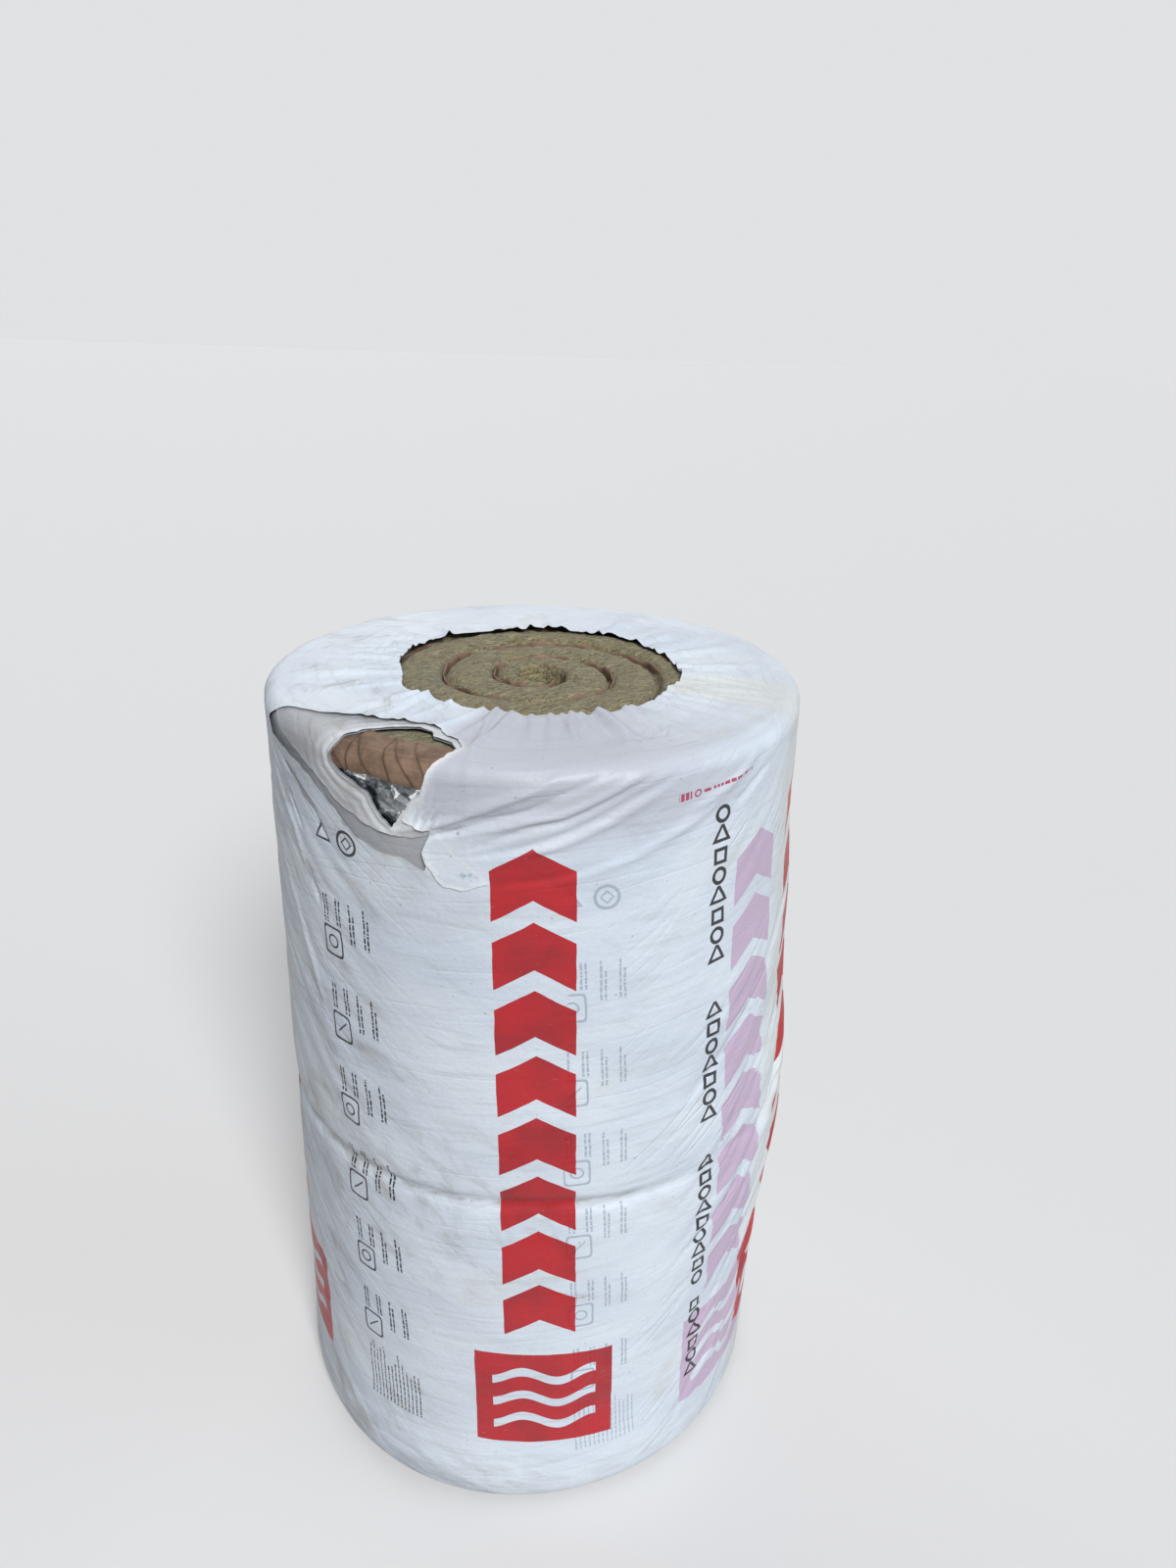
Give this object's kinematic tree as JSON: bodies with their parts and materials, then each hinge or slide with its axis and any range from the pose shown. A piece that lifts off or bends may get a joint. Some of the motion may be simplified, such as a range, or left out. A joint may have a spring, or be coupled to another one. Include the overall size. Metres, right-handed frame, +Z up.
{
  "type": "insulation roll",
  "caption": "Pack of foil-faced stone wool insulation rolls standing end to end in a printed white film bag, torn open at one upper edge.",
  "frame": {"origin": "middle of the base, on the floor, on the common axis of the rolls", "axes": "+Z up along the rolls' axis, -Y towards the front of the bag, +X to the right seen from the front"},
  "size_m": [0.6032, 0.6032, 0.96],
  "materials": {
    "stone_wool": "matt grey-green mineral fibre, cut edges showing its layers",
    "foil_facing": "bright crumpled foil on paper",
    "kraft_edge": "brown crumpled kraft paper with pale reinforcing threads",
    "printed_film": "white translucent polyethylene film, wrinkled and dusty, with red and black print"
  },
  "bodies": {
    "root": {"lower_roll_wool": "stone_wool", "upper_roll_wool": "stone_wool", "lower_roll_foil": "foil_facing", "upper_roll_foil": "foil_facing", "lower_roll_bottom_edge": "kraft_edge", "lower_roll_top_edge": "kraft_edge", "upper_roll_bottom_edge": "kraft_edge", "upper_roll_top_edge": "kraft_edge", "film_bag": "printed_film"}
  },
  "joints": []
}
